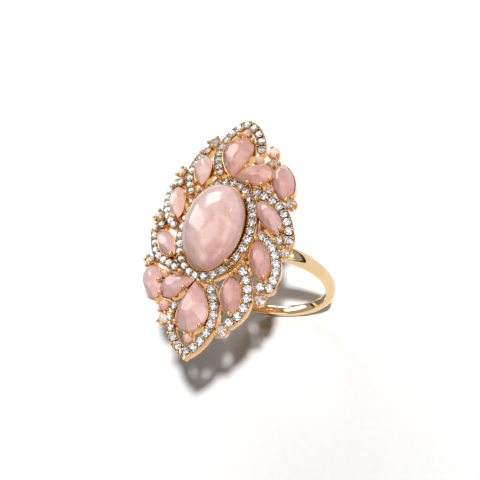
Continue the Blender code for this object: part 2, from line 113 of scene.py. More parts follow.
# The two sides of a tip's row: each one's route and its number of diamonds, the foremost one counted in both
TIP_SIDES = [
    ([(3.5, 9.95), (3.72, 11.3), (3.4, 12.6), (2.75, 13.85), (1.85, 14.95), (0.75, 15.65)], 6),
    ([(0.75, 15.65), (-0.5, 15.0), (-1.35, 13.95), (-1.95, 12.65), (-2.17, 11.5), (-2.05, 10.4), (-1.7, 9.25),
      (-1.25, 8.15)], 9),
]

# The larger opals: centre, where the point or the far end lies, half width and half length, and height
LARGE_PEAR = {"centre": (0.68, 10.2), "point": (0.74, 7.1), "size": (2.06, 3.1), "height": 1.4}
SMALL_PEAR = {"centre": (3.55, 7.32), "point": (1.1, 6.95), "size": (1.47, 2.42), "height": 1.2}
OVAL = {"centre": (7.4, 6.5), "point": (6.35, 8.85), "size": (1.32, 2.5), "height": 1.2}
MARQUISE_HEIGHT = 1.0 * MM
ROUND_HEIGHT = 0.6 * MM

# Small round stones: place, radius and look. The two ends of the ring differ a little, as hand-set stones do
ROUNDS = {
    "inner_a": ((6.0, 5.25), 0.56, "gem"), "inner_b": ((5.65, 5.7), 0.54, "peach"),
    "outer_a": ((5.75, 9.1), 0.7, "gem"), "outer_b": ((4.85, 9.85), 0.7, "peach"),
    "edge_a": ((5.5, 10.75), 0.7, "milky"), "edge_b": ((4.45, 11.6), 0.66, "milky"),
    "tip_a": ((1.2, 13.85), 0.6, "peach"), "tip_b": ((0.6, 14.1), 0.6, "peach"),
    "extra": ((3.9, 9.5), 0.58, "peach"),
}

# The pale faceted stones at the edge, and where round each one its claws stand, in turns from +Y towards +X
ACCENTS = {"upper": (8.85, 3.45), "middle": (9.2, -3.1), "lower": (7.3, -9.25), "tip": (-3.42, 13.2)}
ACCENT_RADIUS = {"upper": 0.66 * MM, "middle": 0.66 * MM, "lower": 0.66 * MM, "tip": 0.73 * MM}
ACCENT_CLAWS = {"upper": (0.03, 0.31, 0.44, 0.82), "middle": (0.06, 0.2, 0.5, 0.86),
                "lower": (0.19, 0.5, 0.7, 0.94), "tip": (0.1, 0.47, 0.77)}

# Claws: the radius of the ball and the rod, and the plan place of each ball
CLAW_BALL = 0.34 * MM
CLAW_ROD = 0.16 * MM
CLAW_SIDES = 14
CENTRE_CLAWS = [(2.95, -5.0), (3.45, 3.7), (-2.95, 5.0), (-3.45, -3.7)]
TIP_CLAWS = {
    "a": [(0.78, 6.82), (2.54, 12.27), (0.5, 13.35), (-1.15, 7.35)],
    "b": [(0.1, 7.42), (2.28, 12.22), (-1.05, 12.8), (-1.5, 7.5)],
}
TIP_SMALL_CLAWS = {"a": [(1.9, 13.15)], "b": [(1.16, 13.36), (-0.1, 13.6)]}
CLUSTER_CLAWS = {
    "a": [(2.72, 8.1), (3.38, 5.8), (5.12, 5.5), (6.02, 6.4), (5.9, 8.4)],
    "b": [(2.0, 8.1), (2.95, 5.95), (4.5, 5.9), (5.87, 6.72), (5.25, 8.49)],
}
CLUSTER_SMALL_CLAWS = {
    "a": [(6.78, 4.77), (4.71, 8.85), (4.95, 10.2), (6.3, 10.1), (5.02, 11.55), (6.89, 8.9), (8.3, 3.95),
          (8.95, 4.05), (3.42, 9.0)],
    "b": [(6.09, 9.3), (5.28, 10.8), (4.2, 10.95), (4.4, 12.4), (8.4, 4.3), (6.6, 4.9), (5.3, 11.9)],
}

# Gallery under the face
RAIL_A = 5.5 * MM
RAIL_B = 9.8 * MM
RAIL_HALF = 0.4 * MM
RAIL_DROP = 2.15 * MM
CROSS_RAIL_Y = 3.4 * MM
SADDLE_X = 5.1 * MM
SADDLE_Y = 0.75 * MM
POST_HALF = 0.42 * MM

# Points round a stone's setting, facets round an opal, and the angle in degrees above which an edge of gold
# or of a faceted opal stays sharp
SETTING_POINTS = 56
CENTRE_POINTS = 120
OPAL_FACETS = 8
GOLD_SHARP = 50
OPAL_SHARP = 13

# Camera, with its angles in degrees
LOOK_AT = Vector((2.675, -0.745, 21.439)) * MM
CAMERA_DISTANCE = 118.3 * MM
CAMERA_AZIMUTH = 44.63
CAMERA_ELEVATION = 49.87
CAMERA_ROLL = 40.1
LENS = 74.5
CAMERA_NEAR = 0.005

# The studio walls, as the polish sees them: pale all round, dark behind the camera and low down
WALL_COLOUR = (0.45, 0.45, 0.46)
DARK_SIDE = (0.03, 0.03, 0.03)
DARK_HORIZON = (0.06, 0.05, 0.04)
FLOOR_HALF = 1.5

# The key light: strength, apparent size in degrees and where it comes from
KEY_STRENGTH = 3.6
KEY_SIZE = 3.5
KEY_FROM = (0.5, -0.2, 1)

# Softboxes that show in the polish: (azimuth from +X, elevation) in degrees, width and height in metres,
# and brightness. Only FILL_BOX lights the matt surfaces as well
SOFTBOX_DISTANCE = 0.5
FILL_BOX = "softbox_back"
SOFTBOXES = [
    ("softbox_back", (109, 32), 0.26, 0.22, 4.4),
    ("softbox_left", (148, 36), 0.15, 0.4, 3.4),
    ("strip_right", (45, 24), 0.03, 0.08, 5),
    ("overhead", (120, 86), 0.4, 0.36, 1.7),
    ("side_right", (5, 30), 0.3, 0.2, 1.8),
    ("side_front", (-110, 35), 0.2, 0.3, 1.8),
    ("low_front", (-52, 14), 0.4, 0.12, 1.5),
]


# ---------------------------------------------------------------- places on the face


def mm(points):
    return [Vector((x * MM, y * MM)) for x, y in points]


def face_normal(x, y):
    return Vector((2 * DROP_X * x, 2 * DROP_Y * y, 1)).normalized()


def face_point(x, y):
    return Vector((x, y, FACE_TOP - DROP_X * x * x - DROP_Y * y * y))


def seat_matrix(centre, heading):
    """A frame on the face: Z is the face's normal, and Y lies along the heading."""
    z_axis = face_normal(*centre)
    y_axis = Vector((heading[0], heading[1], 0))
    y_axis = (y_axis - z_axis * y_axis.dot(z_axis)).normalized()
    x_axis = y_axis.cross(z_axis)
    matrix = Matrix((x_axis, y_axis, z_axis)).transposed().to_4x4()
    return Matrix.Translation(face_point(*centre)) @ matrix


def smooth_route(points, steps=12, closed=False):
    """Points along a Catmull-Rom curve through the given ones."""
    if closed:
        ends = points[-1:] + points + points[:2]
    else:
        ends = [2 * points[0] - points[1]] + points + [2 * points[-1] - points[-2]]
    route = []
    for a, b, c, d in zip(ends, ends[1:], ends[2:], ends[3:]):
        for k in range(steps):
            t = k / steps
            route.append(0.5 * (2 * b + (c - a) * t + (2 * a - 5 * b + 4 * c - d) * t * t
                                + (3 * b - a - 3 * c + d) * t * t * t))
    return route if closed else route + [points[-1]]


def evenly_spaced(route, count):
    """Count points along a route, the first and last at its ends."""
    lengths = [0.0]
    for a, b in zip(route, route[1:]):
        lengths.append(lengths[-1] + (b - a).length)
    places = []
    for k in range(count):
        wanted = lengths[-1] * k / (count - 1)
        after = next((i for i, s in enumerate(lengths) if s >= wanted and i > 0), len(route) - 1)
        share = (wanted - lengths[after - 1]) / (lengths[after] - lengths[after - 1])
        places.append(route[after - 1].lerp(route[after], min(share, 1)))
    return places


def petal_places(petal):
    """Where a petal's diamonds sit. Past a corner the route ends in one more diamond."""
    points = mm(petal["route"])
    if not petal["corner"]:
        return evenly_spaced(smooth_route(points), petal["count"])
    return evenly_spaced(smooth_route(points[:-1]), petal["count"] - 1) + [points[-1]]


def tip_places():
    first, second = (evenly_spaced(smooth_route(mm(side)), count) for side, count in TIP_SIDES)
    return first + second[1:]


def halo_places():
    loop = [Vector(p) for p in ellipse(HALO_A, HALO_B, 240)]
    return evenly_spaced(loop + loop[:1], HALO_COUNT + 1)[:-1]


def headings(places, closed=False):
    """The direction of travel at each place."""
    before = places[-1:] + places[:-1] if closed else [2 * places[0] - places[1]] + places[:-1]
    after = places[1:] + places[:1] if closed else places[1:] + [2 * places[-1] - places[-2]]
    return [((place - a).normalized() + (b - place).normalized()).normalized()
            for a, place, b in zip(before, places, after)]


# ---------------------------------------------------------------- outlines, in a stone's own plane


def ellipse(a, b, count):
    turns = [2 * math.pi * k / count for k in range(count)]
    return [(a * math.sin(t), b * math.cos(t)) for t in turns]


def marquise(a, b, count):
    """A pointed lens, its tips at +Y and -Y."""
    turns = [2 * math.pi * k / count for k in range(count)]
    return [(a * math.copysign(abs(math.sin(t)) ** 1.35, math.sin(t)), b * math.cos(t)) for t in turns]


def pear(a, b, count):
    """A drop, its point at +Y."""
    turns = [2 * math.pi * k / count for k in range(count)]
    return [(1.3 * a * math.sin(t) * math.sin(t / 2), b * math.cos(t)) for t in turns]


def offset(outline, distance):
    """The outline moved outwards along its own normals."""
    moved = []
    for k, (x, y) in enumerate(outline):
        ax, ay = outline[k - 1]
        bx, by = outline[(k + 1) % len(outline)]
        side = Vector((by - ay, ax - bx))
        if side.dot(Vector((x, y))) < 0:
            side = -side
        side.normalize()
        moved.append((x + side.x * distance, y + side.y * distance))
    return moved


# ---------------------------------------------------------------- mesh building


def add_rings(bm, rings, closed=False, cap=True):
    """Joins rings of equal length with quads, and closes each end with a fan."""
    rows = [[bm.verts.new(point) for point in ring] for ring in rings]
    followers = rows[1:] + rows[:1] if closed else rows[1:]
    for first, second in zip(rows, followers):
        for k in range(len(first)):
            nxt = (k + 1) % len(first)
            bm.faces.new((first[k], first[nxt], second[nxt], second[k]))
    if cap and not closed:
        for row in (rows[0], rows[-1]):
            hub = bm.verts.new(sum((v.co for v in row), Vector()) / len(row))
            for k in range(len(row)):
                bm.faces.new((row[k], row[(k + 1) % len(row)], hub))


def add_turned(bm, matrix, levels, sides):
    """A turned body: (radius, height) levels about the matrix's Z axis."""
    circle = ellipse(1, 1, sides)
    add_rings(bm, [[matrix @ Vector((x * r, y * r, z)) for x, y in circle] for r, z in levels])


def add_scaled(bm, outline, levels, matrix):
    """A closed body of one outline, scaled at each (scale, height) level."""
    add_rings(bm, [[matrix @ Vector((x * s, y * s, z)) for x, y in outline] for s, z in levels])


def claw_levels(rod, ball, foot, height):
    """(radius, height) levels of a rod from foot up to a ball centred at height."""
    levels = [(rod * 1.25, foot), (rod, foot * 0.4), (rod, height - 0.93 * ball)]
    for degrees in (-50, -30, -10, 10, 30, 50, 68, 82):
        angle = math.radians(degrees)
        levels.append((ball * math.cos(angle), height + ball * math.sin(angle)))
    return levels


def add_claw(bm, place, height=0.6 * MM, ball=CLAW_BALL, rod=CLAW_ROD, foot=-1.0 * MM):
    """A claw at a plan place: a slim rod that ends in a polished ball."""
    matrix = seat_matrix((place[0], place[1]), (0, 1))
    add_turned(bm, matrix, claw_levels(rod, ball, foot, height), CLAW_SIDES)


def add_hook(bm, centre, toward, radius, ball=0.27 * MM, rod=0.15 * MM):
    """A short claw that grips a small round stone: its rod passes outside the edge, its ball leans back over.

    Each level is (distance out from the edge in mm, radius, height in mm).
    """
    matrix = seat_matrix(centre, (0, 1))
    circle = ellipse(1, 1, CLAW_SIDES)
    levels = [(-0.14, rod, -0.7), (0.04, rod, -0.3), (0.09, rod, 0.0)]
    for degrees in (-55, -30, -10, 10, 30, 50, 68, 82):
        angle = math.radians(degrees)
        levels.append((0.02, ball * math.cos(angle), 0.24 + ball / MM * math.sin(angle)))
    rings = []
    for out, size, up in levels:
        middle = Vector(toward) * (radius + out * MM)
        rings.append([matrix @ Vector((middle.x + x * size, middle.y + y * size, up * MM))
                      for x, y in circle])
    add_rings(bm, rings)


def add_claws(bm, large, small=(), stones=()):
    """Claws at plan places. A small one grips the nearest of its (centre, radius) stones."""
    for place in mm(large):
        add_claw(bm, place, height=0.66 * MM)
    for place in mm(small):
        centre, radius = min(stones, key=lambda stone: (stone[0] - place).length - stone[1])
        add_hook(bm, centre, (place - centre).normalized(), radius)


def add_bar(bm, start, end, half=0.2 * MM, depth=0.85 * MM):
    """A rounded bar under the face, from one place to another."""
    start, end = Vector(start[:2]), Vector(end[:2])
    matrices = [seat_matrix(place, end - start) for place in evenly_spaced([start, end], 4)]
    profile = [(x, 0.8 * y - depth) for y, x in ellipse(half, half, 10)]
    add_rings(bm, [[m @ Vector((side, 0, up)) for side, up in profile] for m in matrices])


def make_object(name, bm, material, smooth=None):
    bmesh.ops.recalc_face_normals(bm, faces=bm.faces)
    mesh = bpy.data.meshes.new(name)
    bm.to_mesh(mesh)
    bm.free()
    if smooth is None:
        mesh.shade_flat()
    else:
        mesh.shade_smooth()
        mesh.set_sharp_from_angle(angle=math.radians(smooth))
    mesh.materials.append(material)
    return place_object(name, mesh)


def place_object(node, mesh, turned=False):
    """A piece for one CAD node, which it replaces."""
    obj = bpy.data.objects.new("look_" + node, mesh)
    bpy.context.scene.collection.objects.link(obj)
    if turned:
        obj.rotation_euler.z = math.pi
    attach(obj, BODY)
    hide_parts(node)
    return obj


def make_pair(name, bm, material, smooth=None):
    first = make_object(name + "_a", bm, material, smooth)
    place_object(name + "_b", first.data, turned=True)


def make_tinted_pair(name, bm, materials):
    """A pair of opals whose two stones differ a little in colour."""
    first = make_object(name + "_a", bm, materials[0], OPAL_SHARP)
    second = place_object(name + "_b", first.data.copy(), turned=True)
    second.data.materials[0] = materials[1]


# ---------------------------------------------------------------- materials


def new_material(name):
    material = bpy.data.materials.new(name)
    material.use_nodes = True
    tree = material.node_tree
    return material, tree, tree.nodes["Principled BSDF"]


def position_noise(tree, scale, detail=3.0, distortion=0.0):
    """Noise by place in the scene; scale is in features per metre."""
    place = tree.nodes.new("ShaderNodeNewGeometry")
    noise = tree.nodes.new("ShaderNodeTexNoise")
    noise.inputs["Scale"].default_value = scale
    noise.inputs["Detail"].default_value = detail
    noise.inputs["Distortion"].default_value = distortion
    tree.links.new(place.outputs["Position"], noise.inputs["Vector"])
    return noise.outputs["Fac"]


def colour_ramp(tree, value, stops):
    ramp = tree.nodes.new("ShaderNodeValToRGB")
    elements = ramp.color_ramp.elements
    while len(elements) < len(stops):
        elements.new(0.5)
    for element, (position, colour) in zip(elements, stops):
        element.position = position
        element.color = (*colour, 1)
    tree.links.new(value, ramp.inputs["Fac"])
    return ramp.outputs["Color"]


def value_range(tree, value, low, high):
    spread = tree.nodes.new("ShaderNodeMapRange")
    spread.inputs["From Min"].default_value = 0.3
    spread.inputs["From Max"].default_value = 0.7
    spread.inputs["To Min"].default_value = low
    spread.inputs["To Max"].default_value = high
    tree.links.new(value, spread.inputs["Value"])
    return spread.outputs["Result"]


def add_bump(tree, shader, height, strength, distance):
    bump = tree.nodes.new("ShaderNodeBump")
    bump.inputs["Strength"].default_value = strength
    bump.inputs["Distance"].default_value = distance
    tree.links.new(height, bump.inputs["Height"])
    tree.links.new(bump.outputs["Normal"], shader.inputs["Normal"])


def gold_material(name, deep, bright):
    """Polished warm gold: slight colour drift, hairline polishing marks and soft waviness."""
    material, tree, shader = new_material(name)
    shader.inputs["Metallic"].default_value = 1.0
    drift = position_noise(tree, 260, detail=2)
    colour = colour_ramp(tree, drift, [(0.3, deep), (0.7, bright)])
    tree.links.new(colour, shader.inputs["Base Color"])
    fine = position_noise(tree, 2600, detail=4)
    tree.links.new(value_range(tree, fine, 0.025, 0.06), shader.inputs["Roughness"])
    add_bump(tree, shader, position_noise(tree, 900, detail=2), 0.05, 0.02 * MM)
    return material


def opal_material(name, light, middle, shade, subsurface=0.45, cloud=420, polish=0.03, painted_shade_slope=0.0):
    """Milky pink opal: clouds and faint veins under a glassy polish. Painted shade darkens it towards -Y."""
    material, tree, shader = new_material(name)
    clouds = position_noise(tree, cloud, detail=4, distortion=0.6)
    vein = position_noise(tree, 900, detail=5, distortion=1.2)
    mix = tree.nodes.new("ShaderNodeMix")
    mix.inputs["Factor"].default_value = 0.28
    tree.links.new(clouds, mix.inputs["A"])
    tree.links.new(vein, mix.inputs["B"])
    depth = mix.outputs["Result"]
    # Painted shade: a slope along Y pushes the colour darker towards -Y, the less lit side of the stone
    if painted_shade_slope:
        parts = tree.nodes.new("ShaderNodeSeparateXYZ")
        tree.links.new(tree.nodes.new("ShaderNodeNewGeometry").outputs["Position"], parts.inputs["Vector"])
        lean = tree.nodes.new("ShaderNodeMath")
        lean.operation = "MULTIPLY_ADD"
        lean.inputs[1].default_value = painted_shade_slope / CENTRE_B
        tree.links.new(parts.outputs["Y"], lean.inputs[0])
        tree.links.new(depth, lean.inputs[2])
        depth = lean.outputs["Value"]
    colour = colour_ramp(tree, depth, [(0.25, shade), (0.48, middle), (0.72, light)])
    tree.links.new(colour, shader.inputs["Base Color"])
    shader.inputs["Subsurface Weight"].default_value = subsurface
    shader.inputs["Subsurface Radius"].default_value = (1.0, 0.45, 0.36)
    shader.inputs["Subsurface Scale"].default_value = 0.5 * MM
    shader.inputs["IOR"].default_value = 1.47
    shader.inputs["Coat Weight"].default_value = 0.7
    shader.inputs["Coat Roughness"].default_value = polish
    shader.inputs["Coat IOR"].default_value = 1.5
    tree.links.new(value_range(tree, vein, 0.1, 0.2), shader.inputs["Roughness"])
    add_bump(tree, shader, clouds, 0.05, 0.05 * MM)
    return material


def gem_material(name, tint, ior, clarity=1.0, spread=0.0):
    """A clear faceted stone, with the faintest clouding inside."""
    material, tree, shader = new_material(name)
    cloud = position_noise(tree, 1500, detail=2)
    paler = tuple(min(1.0, c + spread) for c in tint)
    tree.links.new(colour_ramp(tree, cloud, [(0.35, tint), (0.65, paler)]), shader.inputs["Base Color"])
    shader.inputs["Transmission Weight"].default_value = clarity
    shader.inputs["IOR"].default_value = ior
    tree.links.new(value_range(tree, cloud, 0.0, 0.02), shader.inputs["Roughness"])
    return material


# The face's gold is a darker, more orange copy of the band's gold: painted shade for its crowded hollows
SHADED_FACE_GOLD = gold_material("face_gold_painted_shade", (0.72, 0.40, 0.15), (0.82, 0.50, 0.21))
BAND_GOLD = gold_material("band_gold", (0.80, 0.57, 0.30), (0.85, 0.64, 0.37))
# The centre opal carries painted shade: its colour grows darker towards -Y
CENTRE_OPAL = opal_material("centre_opal", (0.82, 0.64, 0.61), (0.72, 0.48, 0.44), (0.57, 0.30, 0.25),
                            subsurface=0.4, cloud=260, polish=0.1, painted_shade_slope=0.12)
ROSE_OPAL = opal_material("rose_opal", (0.68, 0.43, 0.39), (0.60, 0.32, 0.28), (0.50, 0.24, 0.20),
                          polish=0.1)
SHELL_OPAL = opal_material("shell_opal", (0.80, 0.61, 0.55), (0.72, 0.48, 0.42), (0.63, 0.38, 0.31))
CORAL_OPAL = opal_material("coral_opal", (0.69, 0.44, 0.38), (0.61, 0.32, 0.26), (0.51, 0.24, 0.17),
                           polish=0.1)
BLUSH_OPAL = opal_material("blush_opal", (0.76, 0.55, 0.52), (0.68, 0.42, 0.39), (0.58, 0.30, 0.27),
                           polish=0.12)
PEACH_OPAL = opal_material("peach_opal", (0.78, 0.53, 0.43), (0.68, 0.39, 0.30), (0.58, 0.30, 0.22),
                           cloud=700)
MILKY_OPAL = opal_material("milky_opal", (0.84, 0.74, 0.66), (0.76, 0.62, 0.52), (0.66, 0.49, 0.39),
                           cloud=700)
DIAMOND = gem_material("diamond", (0.97, 0.975, 0.985), 2.3)
PALE_GEM = gem_material("pale_pink_gem", (0.96, 0.90, 0.89), 1.75, clarity=0.8, spread=0.03)


# ---------------------------------------------------------------- stones


def dome_levels(height, power, steps):
    levels = [(0.72, -STONE_BASE), (0.78, -STONE_BASE), (0.96, -0.14 * MM), (1, -0.03 * MM)]
    for k in range(steps):
        scale = math.cos(0.5 * math.pi * k / steps)
        levels.append((scale, height * math.sqrt(1 - scale ** power)))
    return levels


def dome(outline, matrix, height, power, steps):
    bm = bmesh.new()
    add_scaled(bm, outline, dome_levels(height, power, steps), matrix)
    return bm


def add_cut_opal(bm, shape, size, matrix, height):
    """An opal with a smooth edge and a broadly faceted crown: a table, a bevel and one row of long facets."""
    steps = 6
    outline = shape(*size, OPAL_FACETS * steps)
    facets = []
    for k in range(OPAL_FACETS):
        here = Vector(outline[k * steps])
        there = Vector(outline[(k + 1) * steps % len(outline)])
        facets += [here.lerp(there, step / steps) for step in range(steps)]
    levels = [(outline, 0.72, -STONE_BASE), (outline, 0.78, -STONE_BASE), (outline, 0.96, -0.14 * MM),
              (outline, 1, -0.03 * MM), (outline, 0.99, 0.1 * height), (facets, 0.94, 0.3 * height),
              (facets, 0.56, 0.88 * height), (facets, 0.36, height)]
    add_rings(bm, [[matrix @ Vector((x * s, y * s, up)) for x, y in points] for points, s, up in levels])


def petal_seat(petal):
    first, second = mm(petal["tips"])
    return seat_matrix((first + second) / 2, second - first), (second - first).length / 2


def pointed_seat(stone):
    centre, end = mm([stone["centre"], stone["point"]])
    return seat_matrix(centre, end - centre)


def stone_size(stone):
    half_width, half_length = stone["size"]
    return half_width * MM, half_length * MM


def add_brilliant(bm, matrix, radius, crown=0.3, table=0.57, pavilion=0.86):
    """A round brilliant cut: table, stars, kites, girdle and pavilion. Heights are shares of the radius."""
    def ring(count, shift, reach, height):
        turns = [2 * math.pi * (k + shift) / count for k in range(count)]
        return [bm.verts.new(matrix @ Vector((radius * reach * math.cos(t), radius * reach * math.sin(t),
                                              radius * height))) for t in turns]
    girdle = 0.03
    star_reach = 0.8
    low_reach = 0.3
    flat = math.cos(math.pi / 8)
    top = ring(8, 0, table, girdle + crown)
    star = ring(8, 0.5, star_reach, girdle + crown * (1 - star_reach * flat) / (1 - table))
    upper = ring(16, 0, 1, girdle)
    lower = ring(16, 0, 1, -girdle)
    low = ring(8, 0.5, low_reach, -girdle - pavilion * (1 - low_reach * flat))
    culet = bm.verts.new(matrix @ Vector((0, 0, -radius * (girdle + pavilion))))
    bm.faces.new(top)
    for k in range(8):
        nxt = (k + 1) % 8
        bm.faces.new((top[k], top[nxt], star[k]))
        bm.faces.new((top[k], star[k], upper[2 * k], star[k - 1]))
        bm.faces.new((star[k], upper[2 * k], upper[2 * k + 1]))
        bm.faces.new((star[k], upper[2 * k + 1], upper[2 * nxt]))
        bm.faces.new((culet, low[k - 1], lower[2 * k], low[k]))
        bm.faces.new((low[k], lower[2 * k], lower[2 * k + 1]))
        bm.faces.new((low[k], lower[2 * k + 1], lower[2 * nxt]))
    for k in range(16):
        nxt = (k + 1) % 16
        bm.faces.new((upper[k], upper[nxt], lower[nxt], lower[k]))


def row_of_diamonds(places, seed, closed=False):
    """One brilliant at each place, each turned and tipped a little, as hand-set stones are."""
    chance = random.Random(seed)
    bm = bmesh.new()
    for place, heading in zip(places, headings(places, closed)):
        turn = Matrix.Rotation(chance.uniform(0, math.pi), 4, "Z")
        tip = Matrix.Rotation(math.radians(chance.uniform(-3, 3)), 4, "X")
        seat = seat_matrix(place, heading) @ Matrix.Translation((0, 0, GIRDLE_RISE))
        add_brilliant(bm, seat @ tip @ turn, MELEE_RADIUS)
    return bm


def build_diamonds():
    make_object("halo_diamonds", row_of_diamonds(halo_places(), 1, True), DIAMOND)
    for seed, (key, petal) in enumerate(PETALS.items(), start=2):
        make_pair("diamond_row_" + key, row_of_diamonds(petal_places(petal), seed), DIAMOND)
    make_object("tip_diamonds_a", row_of_diamonds(tip_places()[1:], 8), DIAMOND)
    near = make_object("tip_diamonds_b", row_of_diamonds(tip_places(), 9), DIAMOND)
    near.rotation_euler.z = math.pi


def build_opals():
    outline = ellipse(CENTRE_A, CENTRE_B, CENTRE_POINTS)
    centre = dome(outline, seat_matrix((0, 0), (0, 1)), CENTRE_HEIGHT, power=2.3, steps=32)
    make_object("centre_cabochon", centre, CENTRE_OPAL, 40)
    for key, petal in PETALS.items():
        matrix, half_length = petal_seat(petal)
        bm = bmesh.new()
        add_cut_opal(bm, marquise, (petal["half_width"] * MM, half_length), matrix, MARQUISE_HEIGHT)
        tints = (BLUSH_OPAL, BLUSH_OPAL) if key == "upper" else (ROSE_OPAL, SHELL_OPAL)
        make_tinted_pair("marquise_" + key, bm, tints)
    for name, stone, shape in (("large_pear", LARGE_PEAR, pear), ("small_pear", SMALL_PEAR, pear),
                               ("oval_opal", OVAL, ellipse)):
        bm = bmesh.new()
        add_cut_opal(bm, shape, stone_size(stone), pointed_seat(stone), stone["height"] * MM)
        make_tinted_pair(name, bm, (ROSE_OPAL if shape is ellipse else CORAL_OPAL, BLUSH_OPAL))


def build_rounds():
    looks = {
        "peach": (PEACH_OPAL, "pale_opal"),
        "milky": (MILKY_OPAL, "pale_opal"),
        "gem": (PALE_GEM, "pale_gem"),
    }
    for key, (place, radius, look) in ROUNDS.items():
        seat = seat_matrix(mm([place])[0], (0, 1))
        material, slot = looks[look]
        if look == "gem":
            bm = bmesh.new()
            add_brilliant(bm, seat, radius * MM, crown=0.5, table=0.5, pavilion=0.55)
            obj = make_object("round_opal_" + key, bm, material)
        else:
            bm = dome(ellipse(radius * MM, radius * MM, 32), seat, ROUND_HEIGHT, power=2.4, steps=10)
            obj = make_object("round_opal_" + key, bm, material, 40)
        if key.endswith("_b"):
            obj.rotation_euler.z = math.pi


def build_accents():
    for key, place in ACCENTS.items():
        bm = bmesh.new()
        seat = seat_matrix(mm([place])[0], (0, 1)) @ Matrix.Translation((0, 0, GIRDLE_RISE))
        add_brilliant(bm, seat, ACCENT_RADIUS[key], crown=0.42, table=0.55, pavilion=0.62)
        make_pair("accent_stone_" + key, bm, PALE_GEM)


# ---------------------------------------------------------------- gold settings


def groove_height(side, distance):
    """The channel's top between its lips: a cone under each stone, a low web between stones."""
    seat = MELEE_RADIUS - 0.02 * MM
    if distance < seat:
        return max(-0.04 * MM - (seat - distance) * 1.05, -0.6 * MM)
    return -0.04 * MM - 0.16 * MM * max(0, 1 - (side / (0.4 * MM)) ** 2)


def channel_section(matrix, places, squeeze=1.0):
    """One cross-section of a channel: two walls, two rounded lips and the groove between them."""
    half = CHANNEL_HALF_WIDTH
    lip = 0.05 * MM
    right = [(half - 0.05 * MM, lip), (half - 0.02 * MM, lip * 0.7), (half, -0.02 * MM), (half, -0.3 * MM),
             (half * 0.96, -CHANNEL_DEPTH + 0.12 * MM), (half * 0.8, -CHANNEL_DEPTH)]
    left = [(-side, up) for side, up in reversed(right)]
    groove = []
    for k in range(-6, 7):
        side = k / 6 * (half - 0.1 * MM)
        spot = matrix @ Vector((side * squeeze, 0, 0))
        distance = min((spot.xy - stone).length for stone in places)
        groove.append((side, groove_height(side, distance)))
    return [matrix @ Vector((side * squeeze, 0, up)) for side, up in left + groove + right]


def add_channel(bm, places, closed=False):
    """The gold channel of a row of diamonds, with a seat under each stone and rounded ends."""
    route = smooth_route(places, RING_STEPS, closed)
    directions = headings(route, closed)
    rings = [channel_section(seat_matrix(p, d), places) for p, d in zip(route, directions)]
    if not closed:
        for share in (0.35, 0.65, 0.85, 0.97):
            squeeze = math.sqrt(1 - share ** 2)
            reach = share * CHANNEL_HALF_WIDTH
            start = route[0] - directions[0] * reach
            end = route[-1] + directions[-1] * reach
            rings.insert(0, channel_section(seat_matrix(start, directions[0]), places, squeeze))
            rings.append(channel_section(seat_matrix(end, directions[-1]), places, squeeze))
    add_rings(bm, rings, closed)
    add_beads(bm, route, directions, closed)


def add_beads(bm, route, directions, closed):
    """The small gold beads that hold the diamonds: a pair at every gap and a pair at each open end."""
    beads = [(k, BEAD_SIDE, 0) for k in range(RING_STEPS // 2, len(route), RING_STEPS)]
    if not closed:
        beads += [(0, END_BEAD_SIDE, -END_BEAD_REACH), (len(route) - 1, END_BEAD_SIDE, END_BEAD_REACH)]
    for k, reach, ahead in beads:
        matrix = seat_matrix(route[k], directions[k])
        for side in (-1, 1):
            spot = (matrix @ Vector((side * reach, ahead, 0))).xy
            add_claw(bm, spot, height=0.06 * MM, ball=BEAD_RADIUS, rod=0.09 * MM, foot=-0.3 * MM)


def add_collet(bm, outline, matrix, depth=0.8 * MM):
    """A gold wall round a stone: a rounded rim that hugs it, and the ledge that it sits on.

    The profile is (distance out from the stone's outline, height), in mm.
    """
    profile = [(0.04, -depth / MM), (0.11, -0.9), (0.13, -0.12), (0.13, 0.0), (0.115, 0.045), (0.08, 0.06),
               (0.04, 0.05), (0.015, 0.01), (0.01, -0.08), (-0.12, -0.44), (-0.3, -0.5), (-0.32, -depth / MM)]
    loops = [[(x, y, up * MM) for x, y in offset(outline, out * MM)] for out, up in profile]
    rings = [[matrix @ Vector(loop[k]) for loop in loops] for k in range(len(outline))]
    add_rings(bm, rings, closed=True)


def add_basket(bm, centre, radius, claw_turns=()):
    """A small open basket: a ring under the stone's edge, a stem below, and claws at the given turns."""
    matrix = seat_matrix(centre, (0, 1))
    levels = [(0.45 * radius, -1.25 * MM), (0.62 * radius, -1.1 * MM), (0.74 * radius, -0.75 * MM),
              (0.98 * radius, -0.3 * MM), (1.02 * radius, -0.12 * MM), (0.97 * radius, -0.05 * MM),
              (0.88 * radius, -0.12 * MM), (0.62 * radius, -0.5 * MM), (0.3 * radius, -0.72 * MM)]
    add_turned(bm, matrix, levels, 24)
    for turn in claw_turns:
        angle = 2 * math.pi * turn
        add_hook(bm, centre, (math.sin(angle), math.cos(angle)), radius)


def nearest_place(places, point):
    return min(places, key=lambda place: (place - Vector(point[:2])).length)


def build_centre_setting():
    bm = bmesh.new()
    add_channel(bm, halo_places(), closed=True)
    add_collet(bm, ellipse(CENTRE_A, CENTRE_B, CENTRE_POINTS), seat_matrix((0, 0), (0, 1)))
    for place in mm(CENTRE_CLAWS):
        add_claw(bm, place, height=0.8 * MM, ball=0.38 * MM, rod=0.2 * MM)
    make_object("centre_setting", bm, SHADED_FACE_GOLD, GOLD_SHARP)


